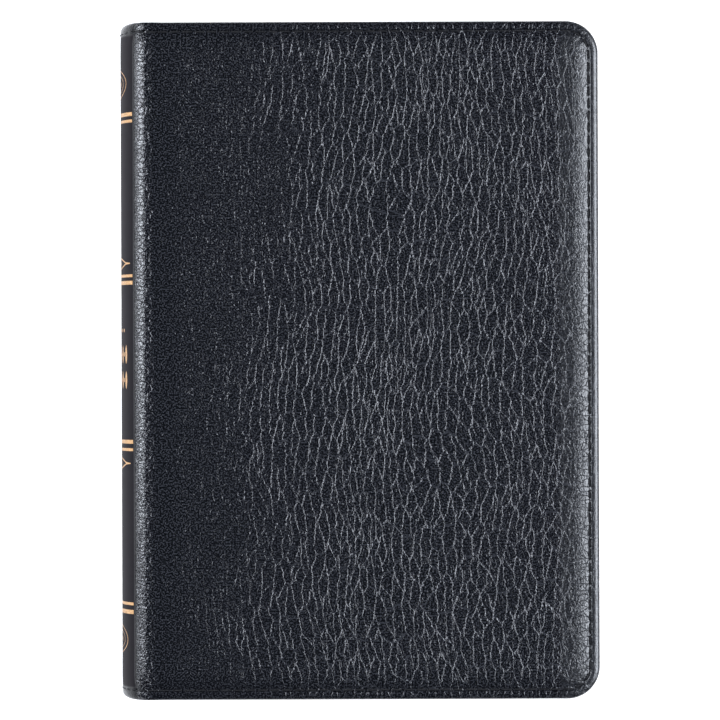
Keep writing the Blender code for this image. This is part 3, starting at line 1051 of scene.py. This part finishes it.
def lining_material():
    n = Nodes("fine_grained_lining", Specular_IOR_Level=0.4)
    place = n.hide()
    cells = n.ramp(n.cells(n.scaled(place, (1.25, 1.25, 1))), 0.0, 0.28)
    tone = n.noise(place, 0.08, 3)
    black = n.colours(tone, (0.3, (0.0075, 0.0072, 0.0085)), (0.7, (0.0125, 0.0120, 0.0140)))
    n.link(black, "Base Color")
    n.link(n.ramp(n.noise(place, 0.9, 3), 0.3, 0.7, 0.42, 0.56), "Roughness")
    n.bump(n.plus(n.times(cells, 0.035), n.times(n.noise(place, 3, 2), 0.02)))
    return n.material


def cloth_material():
    n = Nodes("open_weave_mull", Roughness=0.85, Specular_IOR_Level=0.2)
    across, up, _ = n.parts(n.hide())
    weave = n.math("MAXIMUM", n.waves(n.times(across, 4.5)), n.waves(n.times(up, 4.5)))
    n.link(n.colours(weave, (0.5, (0.40, 0.36, 0.28)), (1.0, (0.72, 0.67, 0.56))), "Base Color")
    n.bump(n.times(weave, 0.08))
    return n.material


def silk_material():
    n = Nodes("striped_silk", Specular_IOR_Level=0.5, Roughness=0.38)
    place = n.hide()
    wound = n.math("DIVIDE", n.parts(place)[0], 2.2)
    stripe = n.ramp(n.math("PINGPONG", wound, 1.0), 0.44, 0.56)
    strand = n.noise(n.scaled(place, (9, 1, 1)), 1, 2)
    n.link(n.colours(stripe, (0.0, (0.012, 0.011, 0.013)), (1.0, (0.66, 0.47, 0.20))), "Base Color")
    n.bump(n.times(strand, 0.05))
    return n.material


def board_material():
    n = Nodes("grey_board", Roughness=0.85, Specular_IOR_Level=0.2)
    place = n.add("ShaderNodeTexCoord", {}).outputs["Object"]
    fibres = n.noise(place, 1400, 4, 0.6)
    n.link(n.colours(fibres, (0.3, (0.22, 0.20, 0.17)), (0.7, (0.34, 0.31, 0.26))), "Base Color")
    n.bump(n.times(fibres, 0.05))
    return n.material


# --- Stage ---

ABOVE = 1.2  # camera's height over the front cover
WIDTH_SEEN = 0.22916  # breadth of what it sees at that distance
COOL = (0.86, 0.91, 1)
FLOOR = 3  # half its size
FLOOR_LEVEL = -0.2 * MM
FLOOR_GLOW = 0.70  # shows the floor as white as the photo's background
CAMERA_AT = (0.40 * MM, 0.16 * MM, THICK + ABOVE)
CAMERA_ROLL = -0.2  # degrees, as the photo's outline shows


def softbox(name, place, target, size, power):
    lamp = bpy.data.lights.new(name, "AREA")
    lamp.shape = "RECTANGLE"
    lamp.size, lamp.size_y = size
    lamp.energy = power
    lamp.color = COOL
    obj = put_in_scene(name, lamp)
    obj.location = place
    away = Vector(place) - Vector(target)
    obj.rotation_euler = away.to_track_quat("Z", "Y").to_euler()


def studio_world():
    """A studio that is pale round the horizon and nearly dark above, so the two softboxes show."""
    world = bpy.data.worlds.new("studio")
    bpy.context.scene.world = world
    world.use_nodes = True
    tree = world.node_tree
    way = tree.nodes.new("ShaderNodeTexCoord").outputs["Generated"]
    split = tree.nodes.new("ShaderNodeSeparateXYZ")
    tree.links.new(way, split.inputs[0])
    ramp = tree.nodes.new("ShaderNodeValToRGB")
    tree.links.new(split.outputs["Z"], ramp.inputs[0])
    for element, (at, level) in zip(ramp.color_ramp.elements, ((0.06, 0.85), (0.22, 0.05))):
        element.position = at
        element.color = (0.80 * level, 0.88 * level, level, 1)
    tree.links.new(ramp.outputs[0], tree.nodes["Background"].inputs["Color"])


def set_stage():
    corners = [(x * FLOOR, y * FLOOR, FLOOR_LEVEL) for x, y in ((-1, -1), (1, -1), (1, 1), (-1, 1))]
    floor = add_object("floor", corners, [[0, 1, 2, 3]], shade=False)
    n = Nodes("pale_floor", Base_Color=(0.88, 0.88, 0.88), Roughness=0.9, Specular_IOR_Level=0.1,
              Emission_Color=(1.0, 1.0, 1.0), Emission_Strength=FLOOR_GLOW)
    floor.data.materials.append(n.material)
    studio_world()
    softbox("left_softbox", (-0.76, 0.16, 0.57), (0, 0.12, 0), (0.5, 0.46), 10.3)
    softbox("right_softbox", (0.70, 0.0, 0.68), (0, 0.0, 0), (0.8, 0.42), 13.2)

    lens = bpy.data.cameras.new("camera")
    camera = put_in_scene("camera", lens)
    lens.sensor_width = 36
    lens.lens = lens.sensor_width * ABOVE / WIDTH_SEEN
    camera.location = CAMERA_AT
    camera.rotation_euler = (0, 0, math.radians(CAMERA_ROLL))
    bpy.context.scene.camera = camera
    bpy.context.scene.view_settings.view_transform = "Standard"


# --- The book ---

leather = leather_material()
thread = thread_material()
inside = lining_material()
end_paper = end_paper_material()
printed = printed_paper_material()
gilt = paper_edge_material()
silk = silk_material()

for side, body, block in ((1, "front_cover", FRONT), (-1, "back_cover", REAR)):
    cover_leather(f"{body}_skin", side, body, leather)
    cover_stitches(f"{body}_stitches", side, body, thread)
    lining(side, body, inside)
spine_leather(leather)
spine_stitches("spine_head_stitches", 1, "spine_head_stitching", thread)
spine_stitches("spine_tail_stitches", -1, "spine_tail_stitching", thread)
spine_tooling(gold_material())

chance = np.random.default_rng(12)
for number in range(1, SECTIONS + 1):
    section(number, [printed, gilt], chance)
for node, body in (("front_flyleaf", FRONT), ("rear_flyleaf", REAR)):
    sheet = page_sheet(f"{node}_sheet", node, [end_paper, gilt])
    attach(sheet, body)
for number in (1, 2, 3):
    sheet = page_sheet(f"loose_leaf_{number}", f"leaf_{number}", [printed, gilt], dense_to=30 * MM)
    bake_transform(sheet)
round_back("spine_cloth", "spine_mull", 0.4 * MM, 0.65 * MM, cloth_material())
headband("head_silk_band", "head_band", silk)
headband("tail_silk_band", "tail_band", silk)
for node in ("front_cover_board", "back_cover_board"):
    bpy.data.objects[node].data.materials.clear()
    bpy.data.objects[node].data.materials.append(board_material())
set_stage()
